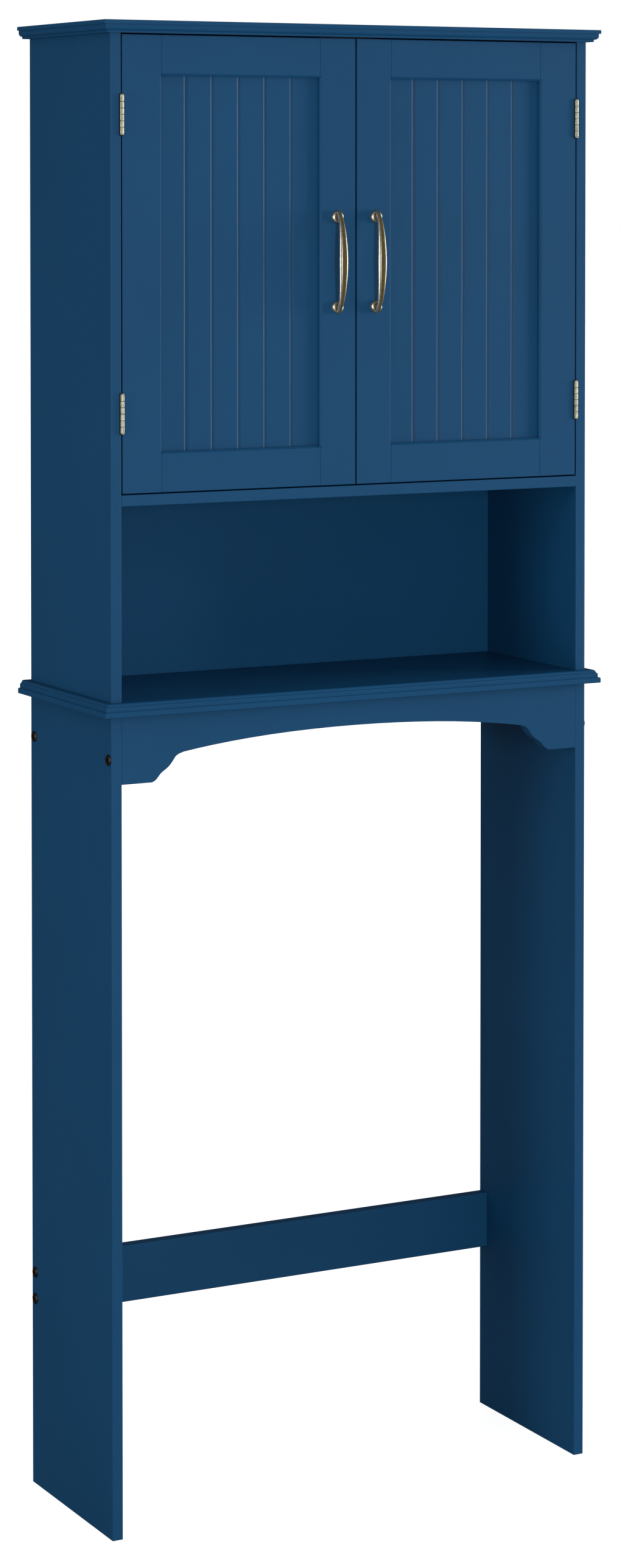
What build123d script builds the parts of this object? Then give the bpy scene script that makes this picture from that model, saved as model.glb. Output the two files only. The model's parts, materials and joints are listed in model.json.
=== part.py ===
from build123d import *
from collections import namedtuple
import os

# Over-the-toilet storage rack. Two leg panels carry a moulded shelf; a cupboard with two
# inset beadboard doors stands on the shelf, over an open compartment, under a moulded top.
# Millimetres. X runs to the right, Y to the wall, Z up; Z = 0 is the floor, and the origin
# is the middle of the bottom of the whole rack, handles included.

os.makedirs("parts", exist_ok=True)

# ----- driving dimensions ---------------------------------------------------------------
TOTAL_HEIGHT = 1698.2
BODY_WIDTH = 619.0  # over the outer faces of the side panels
BODY_DEPTH = 221.0  # front to rear edges of the side panels
BOARD = 12.7  # sides, cabinet floor and adjustable shelf
THICK_BOARD = 15.0  # rails, stretcher and door frames
LEG_HEIGHT = 925.4
SHELF_THICKNESS = 15.2
TOP_THICKNESS = 14.0
REAR_OVERHANG = 6.0  # top and shelf run past the rear edges of the sides
CABINET_FLOOR_UNDERSIDE = 1158.6
EASE = 0.8  # rounding of the outer edges of boards
FIT = 0.1  # all-round play of a fastener in its hole
CROSS_REACH = 1.1  # a screw's cross recess, as parts of the head's radius
CROSS_WIDTH = 0.24

# mouldings: how far they stand out, and their steps
TOP_OVERHANG = 13.0
TOP_FASCIA = 4.4
TOP_STEP = 2.0
TOP_ROUND = 4.2
TOP_FILLET_HEIGHT = 2.5
TOP_FILLET_INSET = 6.4
SHELF_OVERHANG = 13.8
SHELF_FASCIA = 6.4
SHELF_FASCIA_ROUND = 1.5
SHELF_STEP = 2.5
SHELF_LOWER_ROUND_TOP = 12.1  # height above the underside where the two rounds meet
SHELF_LOWER_ROUND = 2.1
SHELF_UPPER_STEP = 4.3
SHELF_UPPER_ROUND = 3.0

# rails
APRON_END_HEIGHT = 76.9
APRON_FOOT = 37.0  # flat foot beside each leg
BRACKET_OUTLINE = ((5.0, 2.6), (10.6, 8.9), (18.7, 14.7), (26.4, 23.0), (31.7, 28.9), (38.5, 31.4))
ARCH_SPRING_HALF = 215.0  # half width of the arch where it meets the brackets
ARCH_SPRING_DROP = 44.3  # below the underside of the shelf
ARCH_CROWN_DROP = 30.0
REAR_RAIL_HEIGHT = 62.0
REAR_SETBACK = 2.0  # rear rails stand in from the rear edges
STRETCHER_BOTTOM = 200.2
STRETCHER_HEIGHT = 66.8

# back panel in its grooves
BACK_THICKNESS = 5.0
BACK_SETBACK = 12.0
GROOVE_DEPTH = 5.0

# doors
DOOR_SIDE_GAP = 1.6
DOOR_END_GAP = 1.5
DOOR_CENTRE_GAP = 2.0
HINGE_STILE = 48.6
MEETING_STILE = 45.4
DOOR_RAIL = 45.2
DOOR_EDGE = 0.4  # chamfer that makes the V joints of the frame
PANEL_BEVEL = 2.2  # bevel of the frame's edges round the panel
PANEL_RECESS = 7.0
PANEL_THICKNESS = 5.0
PANEL_GROOVE = 8.0
TONGUE = 7.5
PLANKS = 6
V_WIDTH = 5.8
V_DEPTH = 1.6

# butt hinges
HINGE_OFFSET = 166.0  # above and below the middle of the door
HINGE_LENGTH = 43.2
KNUCKLES = 6
KNUCKLE_PLAY = 0.3
KNUCKLE_BEVEL = 0.25
BARREL_RADIUS = 2.5
PIN_RADIUS = 1.2
PIN_PLAY = 0.05
PIN_HEAD_RADIUS = 2.2
PIN_HEAD_HEIGHT = 1.3
PIN_HEAD_ROUND = 0.8
PIN_PROUD = 0.8  # pin axis in front of the door faces
LEAF_THICKNESS = 1.0
LEAF_DEPTH = 17.0
LEAF_CLEARANCE = 0.4  # between a leaf's plate and the other leaf's knuckles
LEAF_HALF_GAP = 0.2
BARREL_ROOM = 3.25  # radius of the recess around the barrel
BARREL_ROOM_LENGTH = 47.0
HINGE_SCREW_SPREAD = 13.0  # above and below the middle of the leaf
HINGE_SCREW_DEPTH = 11.0  # behind the pin's axis
HINGE_SCREW_LENGTH = 10.0
HINGE_SCREW_RADIUS = 1.3
HINGE_SCREW_HEAD = 2.3
LEAF_CORNER = 2.0

# bow handles
HANDLE_FROM_CENTRE = 25.2
HANDLE_SPACING = 103.0
HANDLE_PROJECTION = 19.5
HANDLE_STRAP = 4.6
HANDLE_END_WIDTH = 5.2
HANDLE_WIDTH = 10.0
HANDLE_BASE_RADIUS = 7.0
HANDLE_BASE_HEIGHT = 4.0
HANDLE_BASE_BEVEL = 1.1
HANDLE_SCREW_RADIUS = 2.0
HANDLE_SCREW_HEAD = 3.8
HANDLE_SCREW_HEAD_HEIGHT = 2.4
HANDLE_SCREW_GRIP = 2.8  # length of thread in the handle's base

# adjustable shelf on pins
PIN_ROW_PITCH = 64.0
SHELF_PIN_RADIUS = 2.5
SHELF_PIN_IN_HOLE = 8.0
SHELF_PIN_OUT = 7.0
ADJUSTABLE_SHELF_DEPTH = 162.0
ADJUSTABLE_SHELF_PLAY = 0.8

# knock-down fittings
CAM_RADIUS = 6.0
CAM_HEIGHT = 9.5
CAM_SETBACK = 20.0  # pocket centre from the joint
CAM_AXIS_DEPTH = BOARD / 2  # bolt axis below the pocket's mouth
CAM_THREAD = 8.0
CAM_THREAD_RADIUS = 2.5
CAM_SHANK_RADIUS = 1.8
CAM_HEAD_RADIUS = 2.7
CAM_HEAD_LENGTH = 2.4
CAM_SHORT = 1.0  # the bolt ends this much before the middle of the cam
RAIL_CAM_X = 190.0
DOWEL_RADIUS = 3.0
DOWEL_IN_FACE = 8.0
DOWEL_IN_END = 20.0
BOLT_RADIUS = 3.0
BOLT_HEAD_RADIUS = 6.3
BOLT_HEAD_HEIGHT = 2.0
BOLT_HEAD_RIM = 0.9
BOLT_HEAD_FLAT = 4.9
BOLT_LENGTH = 56.0
BOLT_SOCKET_RADIUS = 2.3
BOLT_SOCKET_DEPTH = 1.5
BARREL_NUT_RADIUS = 5.0
BARREL_NUT_LENGTH = 12.0
BARREL_NUT_SETBACK = 35.0
NUT_FRONT = -5.3  # the nut's front end, from the bolt's axis
NUT_MOUTH = THICK_BOARD / 2  # its hole opens on the rear face of the rail
SHELF_SCREW_LENGTH = 45.0
SHELF_SCREW_RADIUS = 2.0
SHELF_SCREW_HEAD = 4.0
SHELF_SCREW_HEAD_HEIGHT = 2.4
BOLT_Z = 876.0
RAIL_DOWEL_Z = 905.0
STRETCHER_BOLT_PITCH = 31.0
WALL_HOLE_RADIUS = 2.5
WALL_HOLE_SPACING = 400.0

# magnetic catch under the top, and the strike plates on the doors
STRIKE_THICKNESS = 1.0
STRIKE_WIDTH = 15.0
STRIKE_HEIGHT = 11.0
STRIKE_FROM_CENTRE = 13.0
STRIKE_BELOW_TOP = 9.0
STRIKE_SCREW_LENGTH = 9.0
STRIKE_SCREW_RADIUS = 1.4
STRIKE_SCREW_HEAD = 2.4
CATCH_GAP = 0.4  # between magnets and strike plates
MAGNET_PROUD = 0.4
MAGNET_LENGTH = 17.0
MAGNET_HEIGHT = 7.0
MAGNET_DEPTH = 6.0
CATCH_DEPTH = 15.0
CATCH_HALF_LENGTH = 26.0
CATCH_HEIGHT = 14.0
CATCH_LUG_THICKNESS = 2.4
CATCH_LUG_LENGTH = 11.0
CATCH_LUG_INSET = 3.0
CATCH_SCREW_RADIUS = 1.4
CATCH_SCREW_GRIP = 9.0
CATCH_SCREW_HEAD = 2.8
CATCH_SCREW_HEAD_HEIGHT = 1.6

# ----- places worked out from them ------------------------------------------------------
HALF_WIDTH = BODY_WIDTH / 2
INNER_HALF = HALF_WIDTH - BOARD
BOARD_MIDDLE = HALF_WIDTH - BOARD / 2
BOARDS_REAR = (REAR_OVERHANG + BODY_DEPTH + HANDLE_PROJECTION) / 2
REAR = BOARDS_REAR - REAR_OVERHANG
FRONT = REAR - BODY_DEPTH
SHELF_BOTTOM = LEG_HEIGHT
SHELF_TOP = LEG_HEIGHT + SHELF_THICKNESS
TOP_BOTTOM = TOTAL_HEIGHT - TOP_THICKNESS
FLOOR_TOP = CABINET_FLOOR_UNDERSIDE + BOARD
FLOOR_MIDDLE = CABINET_FLOOR_UNDERSIDE + BOARD / 2
BACK_FRONT = REAR - BACK_SETBACK - BACK_THICKNESS
REAR_RAIL_FRONT = REAR - REAR_SETBACK - THICK_BOARD
REAR_RAIL_MIDDLE = REAR - REAR_SETBACK - THICK_BOARD / 2
APRON_MIDDLE = FRONT + THICK_BOARD / 2
APRON_BACK = FRONT + THICK_BOARD
STRETCHER_MIDDLE = STRETCHER_BOTTOM + STRETCHER_HEIGHT / 2

DOOR_BOTTOM = FLOOR_TOP + DOOR_END_GAP
DOOR_TOP = TOP_BOTTOM - DOOR_END_GAP
DOOR_MIDDLE = (DOOR_BOTTOM + DOOR_TOP) / 2
DOOR_OUTER = INNER_HALF - DOOR_SIDE_GAP  # distance of the door's hinge edge from X = 0
DOOR_INNER = DOOR_CENTRE_GAP / 2
OPENING_OUTER = DOOR_OUTER - HINGE_STILE
OPENING_INNER = DOOR_INNER + MEETING_STILE
OPENING_MIDDLE = (OPENING_OUTER + OPENING_INNER) / 2
OPENING_BOTTOM = DOOR_BOTTOM + DOOR_RAIL
OPENING_TOP = DOOR_TOP - DOOR_RAIL
DOOR_BACK = FRONT + THICK_BOARD
PANEL_FRONT = FRONT + PANEL_RECESS
HINGE_HEIGHTS = {"lower": DOOR_MIDDLE - HINGE_OFFSET, "upper": DOOR_MIDDLE + HINGE_OFFSET}
HINGE_X = INNER_HALF - DOOR_SIDE_GAP / 2
HINGE_Y = FRONT - PIN_PROUD
HANDLE_HEIGHTS = (DOOR_MIDDLE - HANDLE_SPACING / 2, DOOR_MIDDLE + HANDLE_SPACING / 2)

STRIKE_Z = TOP_BOTTOM - STRIKE_BELOW_TOP
CATCH_FRONT = DOOR_BACK + STRIKE_THICKNESS + CATCH_GAP + MAGNET_PROUD

PIN_COLUMNS = (FRONT + 52, FRONT + 174)
PIN_ROWS = (DOOR_MIDDLE - PIN_ROW_PITCH, DOOR_MIDDLE, DOOR_MIDDLE + PIN_ROW_PITCH)

SIDES = {"left": -1, "right": 1}
UP = Vector(0, 0, 1)
DOWN = Vector(0, 0, -1)
TO_WALL = Vector(0, 1, 0)
TO_FRONT = Vector(0, -1, 0)
ON_BASE = (Align.CENTER, Align.CENTER, Align.MIN)


def outward(side):
    """The direction that leaves the rack on the given side."""
    return Vector(side, 0, 0)


def inward(side):
    """The direction that points to the middle of the rack from the given side."""
    return Vector(-side, 0, 0)


# ----- shapes used again and again ------------------------------------------------------
def block(low, high, mode=Mode.ADD):
    """A box between two opposite corners, in any order."""
    low, high = Vector(*low), Vector(*high)
    middle = (low + high) * 0.5
    with Locations(tuple(middle)):
        Box(abs(high.X - low.X), abs(high.Y - low.Y), abs(high.Z - low.Z), mode=mode)


def rod(start, direction, length, radius, mode=Mode.ADD):
    """A round bar, or a drilled hole, from a start point along a direction."""
    with Locations(Plane(origin=start, z_dir=direction).location):
        Cylinder(radius, length, align=ON_BASE, mode=mode)


def cone(start, direction, length, start_radius, end_radius, mode=Mode.ADD):
    """A tapered bar, or a countersink, from a start point along a direction."""
    with Locations(Plane(origin=start, z_dir=direction).location):
        Cone(start_radius, end_radius, length, align=ON_BASE, mode=mode)


def save(builder, name):
    """Names a finished piece and writes it as a STEP file."""
    builder.part.label = name
    export_step(builder.part, f"parts/{name}.step")


def cross_recess(crown, direction, head_radius, depth):
    """The cross-shaped recess for a screwdriver, sunk from the point crown along direction."""
    reach = head_radius * CROSS_REACH
    width = head_radius * CROSS_WIDTH
    with Locations(Plane(origin=crown, z_dir=direction).location):
        Box(reach, width, depth * 2, mode=Mode.SUBTRACT)
        Box(width, reach, depth * 2, mode=Mode.SUBTRACT)


def flat_head_screw(head, direction, length, radius, head_radius, head_height):
    """A countersunk screw whose flat head lies at the point head."""
    cone(head, direction, head_height, head_radius, radius)
    rod(head, direction, length, radius)
    cross_recess(head, direction, head_radius, head_height / 2)


def pan_head_screw(seat, direction, length, radius, head_radius, head_height):
    """A screw whose raised head sits on the point seat and whose shank goes along direction."""
    rod(seat, direction, length, radius)
    cone(seat, direction * -1, head_height, head_radius, head_radius * 0.75)
    cross_recess(seat - direction * head_height, direction, head_radius, head_height * 0.6)


# ----- fittings: each list says where they sit, and boards are drilled from it ----------
# A cam joint lies on the face between two boards. The bolt's thread goes back into the
# first board, its shank goes forward into the cam board, whose pocket opens along mouth.
CamJoint = namedtuple("CamJoint", "point direction mouth")
# A dowel goes back into the face of one board and forward into the end of the other.
Dowel = namedtuple("Dowel", "point direction")
# A leg bolt starts on the outer face of a leg and ends in a barrel nut in the rail.
LegBolt = namedtuple("LegBolt", "side y z")

CAM_COLUMNS = (FRONT + 50, FRONT + 170)
TOP_CAMS = [
    CamJoint(Vector(side * BOARD_MIDDLE, y, TOP_BOTTOM), DOWN, inward(side))
    for side in SIDES.values()
    for y in CAM_COLUMNS
]
FLOOR_CAMS = [
    CamJoint(Vector(side * INNER_HALF, y, FLOOR_MIDDLE), inward(side), UP)
    for side in SIDES.values()
    for y in CAM_COLUMNS
]
APRON_CAMS = [
    CamJoint(Vector(side * RAIL_CAM_X, APRON_BACK - CAM_AXIS_DEPTH, SHELF_BOTTOM), DOWN, TO_WALL)
    for side in SIDES.values()
]
REAR_RAIL_CAMS = [
    CamJoint(Vector(side * RAIL_CAM_X, REAR_RAIL_FRONT + CAM_AXIS_DEPTH, SHELF_BOTTOM), DOWN, TO_FRONT)
    for side in SIDES.values()
]
ALL_CAMS = TOP_CAMS + FLOOR_CAMS + APRON_CAMS + REAR_RAIL_CAMS

END_DOWEL_COLUMNS = (FRONT + 25, FRONT + 194)
LEG_DOWEL_COLUMNS = (FRONT + 80, FRONT + 140)
TOP_DOWELS = [
    Dowel(Vector(side * BOARD_MIDDLE, y, TOP_BOTTOM), DOWN)
    for side in SIDES.values()
    for y in END_DOWEL_COLUMNS
]
SIDE_FOOT_DOWELS = [
    Dowel(Vector(side * BOARD_MIDDLE, y, SHELF_TOP), UP)
    for side in SIDES.values()
    for y in END_DOWEL_COLUMNS
]
LEG_DOWELS = [
    Dowel(Vector(side * BOARD_MIDDLE, y, SHELF_BOTTOM), DOWN)
    for side in SIDES.values()
    for y in LEG_DOWEL_COLUMNS
]
APRON_DOWELS = [
    Dowel(Vector(side * INNER_HALF, APRON_MIDDLE, RAIL_DOWEL_Z), inward(side))
    for side in SIDES.values()
]
REAR_RAIL_DOWELS = [
    Dowel(Vector(side * INNER_HALF, REAR_RAIL_MIDDLE, RAIL_DOWEL_Z), inward(side))
    for side in SIDES.values()
]

SHELF_SCREWS = [
    Vector(side * BOARD_MIDDLE, y, SHELF_BOTTOM)
    for side in SIDES.values()
    for y in CAM_COLUMNS
]
CATCH_SCREWS = [
    Vector(
        side * (CATCH_HALF_LENGTH + CATCH_LUG_LENGTH / 2),
        CATCH_FRONT + CATCH_DEPTH / 2,
        TOP_BOTTOM,
    )
    for side in SIDES.values()
]
APRON_BOLTS = [LegBolt(side, APRON_MIDDLE, BOLT_Z) for side in SIDES.values()]
REAR_RAIL_BOLTS = [LegBolt(side, REAR_RAIL_MIDDLE, BOLT_Z) for side in SIDES.values()]
STRETCHER_BOLTS = [
    LegBolt(side, REAR_RAIL_MIDDLE, STRETCHER_MIDDLE + half * STRETCHER_BOLT_PITCH / 2)
    for side in SIDES.values()
    for half in (-1, 1)
]
LEG_BOLTS = APRON_BOLTS + REAR_RAIL_BOLTS + STRETCHER_BOLTS


def on_side(fittings, side):
    """The fittings of one side of the rack."""
    return [fitting for fitting in fittings if fitting.point.X * side > 0]


def drill_cam_board(joints):
    """Pockets for the cams, and the bores their bolts come in by."""
    for joint in joints:
        centre = joint.point + joint.direction * CAM_SETBACK
        mouth = centre + joint.mouth * CAM_AXIS_DEPTH
        rod(mouth, joint.mouth * -1, CAM_HEIGHT + FIT, CAM_RADIUS + FIT, mode=Mode.SUBTRACT)
        rod(joint.point, joint.direction, CAM_SETBACK, CAM_HEAD_RADIUS + FIT, mode=Mode.SUBTRACT)


def drill_cam_threads(joints):
    """Holes that the cam bolts screw into."""
    for joint in joints:
        depth = CAM_THREAD + FIT
        rod(joint.point, joint.direction * -1, depth, CAM_THREAD_RADIUS + FIT, mode=Mode.SUBTRACT)


def drill_dowel_faces(dowels):
    """Dowel holes in the face of a board."""
    for dowel in dowels:
        depth = DOWEL_IN_FACE + FIT
        rod(dowel.point, dowel.direction * -1, depth, DOWEL_RADIUS + FIT, mode=Mode.SUBTRACT)


def drill_dowel_ends(dowels):
    """Dowel holes in the end of a board."""
    for dowel in dowels:
        depth = DOWEL_IN_END + FIT
        rod(dowel.point, dowel.direction, depth, DOWEL_RADIUS + FIT, mode=Mode.SUBTRACT)


def drill_rail_bolts(bolts):
    """The bolt's bore in a rail's end, and the hole of its barrel nut from the rear."""
    for bolt in bolts:
        end = Vector(bolt.side * INNER_HALF, bolt.y, bolt.z)
        bore_length = BOLT_LENGTH - BOARD + 1
        rod(end, inward(bolt.side), bore_length, BOLT_RADIUS + FIT, mode=Mode.SUBTRACT)
        mouth = end + inward(bolt.side) * BARREL_NUT_SETBACK + TO_WALL * NUT_MOUTH
        depth = NUT_MOUTH - NUT_FRONT + FIT
        rod(mouth, TO_FRONT, depth, BARREL_NUT_RADIUS + FIT, mode=Mode.SUBTRACT)


# ----- boards of the carcass ------------------------------------------------------------
def slab_layer(bottom, top, overhang, top_radius, bottom_radius):
    """One step of a moulded slab; its top or bottom edges are rounded where a radius is given."""
    half = HALF_WIDTH + overhang
    with BuildPart() as layer:
        block((-half, FRONT - overhang, bottom), (half, BOARDS_REAR, top))
        for level, radius in ((0, bottom_radius), (-1, top_radius)):
            if radius > 0:
                ring = layer.edges().group_by(Axis.Z)[level]
                fillet(ring.sort_by(Axis.Y)[:-1], radius)
    return layer.part


def top_panel():
    """The moulded top: fascia, step, quarter round and a small fillet, widest at the top."""
    fascia_bottom = TOTAL_HEIGHT - TOP_FASCIA
    fillet_top = TOP_BOTTOM + TOP_FILLET_HEIGHT
    fascia = slab_layer(fascia_bottom, TOTAL_HEIGHT, TOP_OVERHANG, EASE, 0)
    round_step = slab_layer(fillet_top, fascia_bottom, TOP_OVERHANG - TOP_STEP, 0, TOP_ROUND)
    small_fillet = slab_layer(TOP_BOTTOM, fillet_top, TOP_OVERHANG - TOP_FILLET_INSET, 0, 0)
    with BuildPart() as top:
        add(small_fillet)
        add(round_step)
        add(fascia)
        drill_cam_threads(TOP_CAMS)
        drill_dowel_faces(TOP_DOWELS)
        for screw in CATCH_SCREWS:
            rod(screw, UP, CATCH_SCREW_GRIP, CATCH_SCREW_RADIUS + FIT, mode=Mode.SUBTRACT)
    save(top, "top_panel")


def mid_shelf():
    """The moulded shelf between legs and cupboard: fascia, step and two rounds above each other."""
    fascia_top = SHELF_BOTTOM + SHELF_FASCIA
    crease = SHELF_BOTTOM + SHELF_LOWER_ROUND_TOP
    fascia = slab_layer(SHELF_BOTTOM, fascia_top, SHELF_OVERHANG, SHELF_FASCIA_ROUND, EASE)
    lower_round = slab_layer(fascia_top, crease, SHELF_OVERHANG - SHELF_STEP, SHELF_LOWER_ROUND, 0)
    upper_round = slab_layer(crease, SHELF_TOP, SHELF_OVERHANG - SHELF_UPPER_STEP, SHELF_UPPER_ROUND, 0)
    with BuildPart() as shelf:
        add(fascia)
        add(lower_round)
        add(upper_round)
        drill_cam_threads(APRON_CAMS + REAR_RAIL_CAMS)
        drill_dowel_faces(SIDE_FOOT_DOWELS + LEG_DOWELS)
        for head in SHELF_SCREWS:
            rod(head, UP, SHELF_THICKNESS, SHELF_SCREW_RADIUS + FIT, mode=Mode.SUBTRACT)
            cone(
                head, UP, SHELF_SCREW_HEAD_HEIGHT + FIT, SHELF_SCREW_HEAD + FIT,
                SHELF_SCREW_RADIUS, mode=Mode.SUBTRACT,
            )
    save(shelf, "mid_shelf")


def cut_hinge_seat(side, hinge_z, leaf_side):
    """The shallow leaf mortise and round barrel recess. leaf_side is 1 in the rack, -1 in the door."""
    axis_x = side * HINGE_X
    reach = LEAF_HALF_GAP + LEAF_THICKNESS + FIT / 2
    half_length = HINGE_LENGTH / 2 + FIT
    block(
        (axis_x, HINGE_Y, hinge_z - half_length),
        (axis_x + side * leaf_side * reach, HINGE_Y + LEAF_DEPTH + FIT, hinge_z + half_length),
        mode=Mode.SUBTRACT,
    )
    foot = Vector(axis_x, HINGE_Y, hinge_z - BARREL_ROOM_LENGTH / 2)
    rod(foot, UP, BARREL_ROOM_LENGTH, BARREL_ROOM, mode=Mode.SUBTRACT)
    for screw in hinge_screw_points(side, hinge_z, leaf_side):
        direction = outward(side) * leaf_side
        rod(screw, direction, HINGE_SCREW_LENGTH + FIT, HINGE_SCREW_RADIUS + FIT, mode=Mode.SUBTRACT)


def upper_side(name, side):
    """A cupboard side, from the shelf to the top."""
    with BuildPart() as board:
        block((side * INNER_HALF, FRONT, SHELF_TOP), (side * HALF_WIDTH, REAR, TOP_BOTTOM))
        fillet(board.edges().filter_by(Axis.Z), EASE)
        block(
            (side * INNER_HALF, BACK_FRONT - FIT / 2, SHELF_TOP),
            (side * (INNER_HALF + GROOVE_DEPTH), BACK_FRONT + BACK_THICKNESS + FIT / 2, TOP_BOTTOM),
            mode=Mode.SUBTRACT,
        )
        for y in PIN_COLUMNS:
            for z in PIN_ROWS:
                rod(
                    Vector(side * INNER_HALF, y, z), outward(side), SHELF_PIN_IN_HOLE + FIT,
                    SHELF_PIN_RADIUS + FIT, mode=Mode.SUBTRACT,
                )
        drill_cam_board(on_side(TOP_CAMS, side))
        drill_cam_threads(on_side(FLOOR_CAMS, side))
        drill_dowel_ends(on_side(TOP_DOWELS + SIDE_FOOT_DOWELS, side))
        for head in SHELF_SCREWS:
            rod(head, UP, SHELF_SCREW_LENGTH + FIT, SHELF_SCREW_RADIUS + FIT, mode=Mode.SUBTRACT)
        for hinge_z in HINGE_HEIGHTS.values():
            cut_hinge_seat(side, hinge_z, 1)
    save(board, f"upper_side_{name}")


def leg_panel(name, side):
    """A lower side that stands on the floor."""
    with BuildPart() as board:
        block((side * INNER_HALF, FRONT, 0), (side * HALF_WIDTH, REAR, LEG_HEIGHT))
        fillet(board.edges().filter_by(Axis.Z), EASE)
        drill_dowel_ends(on_side(LEG_DOWELS, side))
        drill_dowel_faces(on_side(APRON_DOWELS + REAR_RAIL_DOWELS, side))
        for bolt in LEG_BOLTS:
            if bolt.side == side:
                outer_face = Vector(side * HALF_WIDTH, bolt.y, bolt.z)
                rod(outer_face, inward(side), BOARD, BOLT_RADIUS + FIT, mode=Mode.SUBTRACT)
    save(board, f"leg_panel_{name}")


def cabinet_floor():
    """The fixed floor of the cupboard, under the doors."""
    with BuildPart() as board:
        block((-INNER_HALF, FRONT, CABINET_FLOOR_UNDERSIDE), (INNER_HALF, BACK_FRONT, FLOOR_TOP))
        front_edges = board.edges().filter_by(Axis.X).group_by(Axis.Y)[0]
        fillet(front_edges, EASE)
        drill_cam_board(FLOOR_CAMS)
    save(board, "cabinet_floor")


def back_panel():
    """The thin back, let into grooves in both sides."""
    half = INNER_HALF + GROOVE_DEPTH - FIT
    with BuildPart() as board:
        block((-half, BACK_FRONT, SHELF_TOP), (half, BACK_FRONT + BACK_THICKNESS, TOP_BOTTOM))
    save(board, "back_panel")


def bracket_outline(side):
    """Half of the apron's lower edge: flat foot, double-curved bracket, then the arch to the crown."""
    bottom = SHELF_BOTTOM - APRON_END_HEIGHT
    spring = (side * ARCH_SPRING_HALF, SHELF_BOTTOM - ARCH_SPRING_DROP)
    crown = (0, SHELF_BOTTOM - ARCH_CROWN_DROP)
    foot_end = INNER_HALF - APRON_FOOT
    corner = (side * foot_end, bottom)
    curve = [(side * (foot_end - inner), bottom + rise) for inner, rise in BRACKET_OUTLINE]
    arch_tangent = (-side * 1.0, 0.15)
    Line((side * INNER_HALF, bottom), corner)
    Spline(corner, *curve, spring, tangents=((-side * 1.0, 0.3), arch_tangent))
    Spline(spring, crown, tangents=(arch_tangent, (-side * 1.0, 0.0)))


def apron():
    """The arched front rail between the legs."""
    with BuildPart() as rail:
        with BuildSketch(Plane.XZ.offset(-FRONT)):
            with BuildLine():
                bracket_outline(-1)
                bracket_outline(1)
                Polyline(
                    (-INNER_HALF, SHELF_BOTTOM - APRON_END_HEIGHT),
                    (-INNER_HALF, SHELF_BOTTOM),
                    (INNER_HALF, SHELF_BOTTOM),
                    (INNER_HALF, SHELF_BOTTOM - APRON_END_HEIGHT),
                )
            make_face()
        extrude(amount=-THICK_BOARD)
        drill_cam_board(APRON_CAMS)
        drill_dowel_ends(APRON_DOWELS)
        drill_rail_bolts(APRON_BOLTS)
    save(rail, "apron")


def rear_rail():
    """The top rail at the rear, with two holes for screws into the wall."""
    with BuildPart() as rail:
        block(
            (-INNER_HALF, REAR_RAIL_FRONT, SHELF_BOTTOM - REAR_RAIL_HEIGHT),
            (INNER_HALF, REAR_RAIL_FRONT + THICK_BOARD, SHELF_BOTTOM),
        )
        lower_edges = rail.edges().filter_by(Axis.X).group_by(Axis.Z)[0]
        fillet(lower_edges, EASE)
        drill_cam_board(REAR_RAIL_CAMS)
        drill_dowel_ends(REAR_RAIL_DOWELS)
        drill_rail_bolts(REAR_RAIL_BOLTS)
        for side in SIDES.values():
            hole_z = SHELF_BOTTOM - REAR_RAIL_HEIGHT / 2
            start = Vector(side * WALL_HOLE_SPACING / 2, REAR_RAIL_FRONT, hole_z)
            rod(start, TO_WALL, THICK_BOARD, WALL_HOLE_RADIUS, mode=Mode.SUBTRACT)
    save(rail, "rear_rail")


def stretcher():
    """The low rail that ties the legs behind the toilet's foot."""
    with BuildPart() as rail:
        block(
            (-INNER_HALF, REAR_RAIL_FRONT, STRETCHER_BOTTOM),
            (INNER_HALF, REAR_RAIL_FRONT + THICK_BOARD, STRETCHER_BOTTOM + STRETCHER_HEIGHT),
        )
        fillet(rail.edges().filter_by(Axis.X), EASE)
        drill_rail_bolts(STRETCHER_BOLTS)
    save(rail, "stretcher")


def adjustable_shelf():
    """The loose shelf behind the doors, lying on its four pins."""
    half = INNER_HALF - ADJUSTABLE_SHELF_PLAY
    bottom = DOOR_MIDDLE + SHELF_PIN_RADIUS
    rear = BACK_FRONT - ADJUSTABLE_SHELF_PLAY
    with BuildPart() as board:
        block((-half, rear - ADJUSTABLE_SHELF_DEPTH, bottom), (half, rear, bottom + BOARD))
        front_edges = board.edges().filter_by(Axis.X).group_by(Axis.Y)[0]
        fillet(front_edges, EASE)
    save(board, "adjustable_shelf")


def shelf_pins():
    """Four shelf pins in the middle row of holes."""
    with BuildPart() as pins:
        for side in SIDES.values():
            for y in PIN_COLUMNS:
                start = Vector(side * (INNER_HALF + SHELF_PIN_IN_HOLE), y, DOOR_MIDDLE)
                rod(start, inward(side), SHELF_PIN_IN_HOLE + SHELF_PIN_OUT, SHELF_PIN_RADIUS)
    save(pins, "shelf_pins")


# ----- fasteners of the carcass ---------------------------------------------------------
def dowels():
    """All wooden dowels."""
    every = TOP_DOWELS + SIDE_FOOT_DOWELS + LEG_DOWELS + APRON_DOWELS + REAR_RAIL_DOWELS
    with BuildPart() as pins:
        for dowel in every:
            start = dowel.point - dowel.direction * DOWEL_IN_FACE
            rod(start, dowel.direction, DOWEL_IN_FACE + DOWEL_IN_END, DOWEL_RADIUS)
    save(pins, "dowels")


def cam_bolts():
    """The bolts that the cams pull on: thread, thin shank and a round head."""
    with BuildPart() as bolts:
        for joint in ALL_CAMS:
            rod(joint.point, joint.direction * -1, CAM_THREAD, CAM_THREAD_RADIUS)
            reach = CAM_SETBACK - CAM_SHORT
            rod(joint.point, joint.direction, reach, CAM_SHANK_RADIUS)
            neck = joint.point + joint.direction * (reach - CAM_HEAD_LENGTH)
            rod(neck, joint.direction, CAM_HEAD_LENGTH, CAM_HEAD_RADIUS)
    save(bolts, "cam_bolts")


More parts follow.
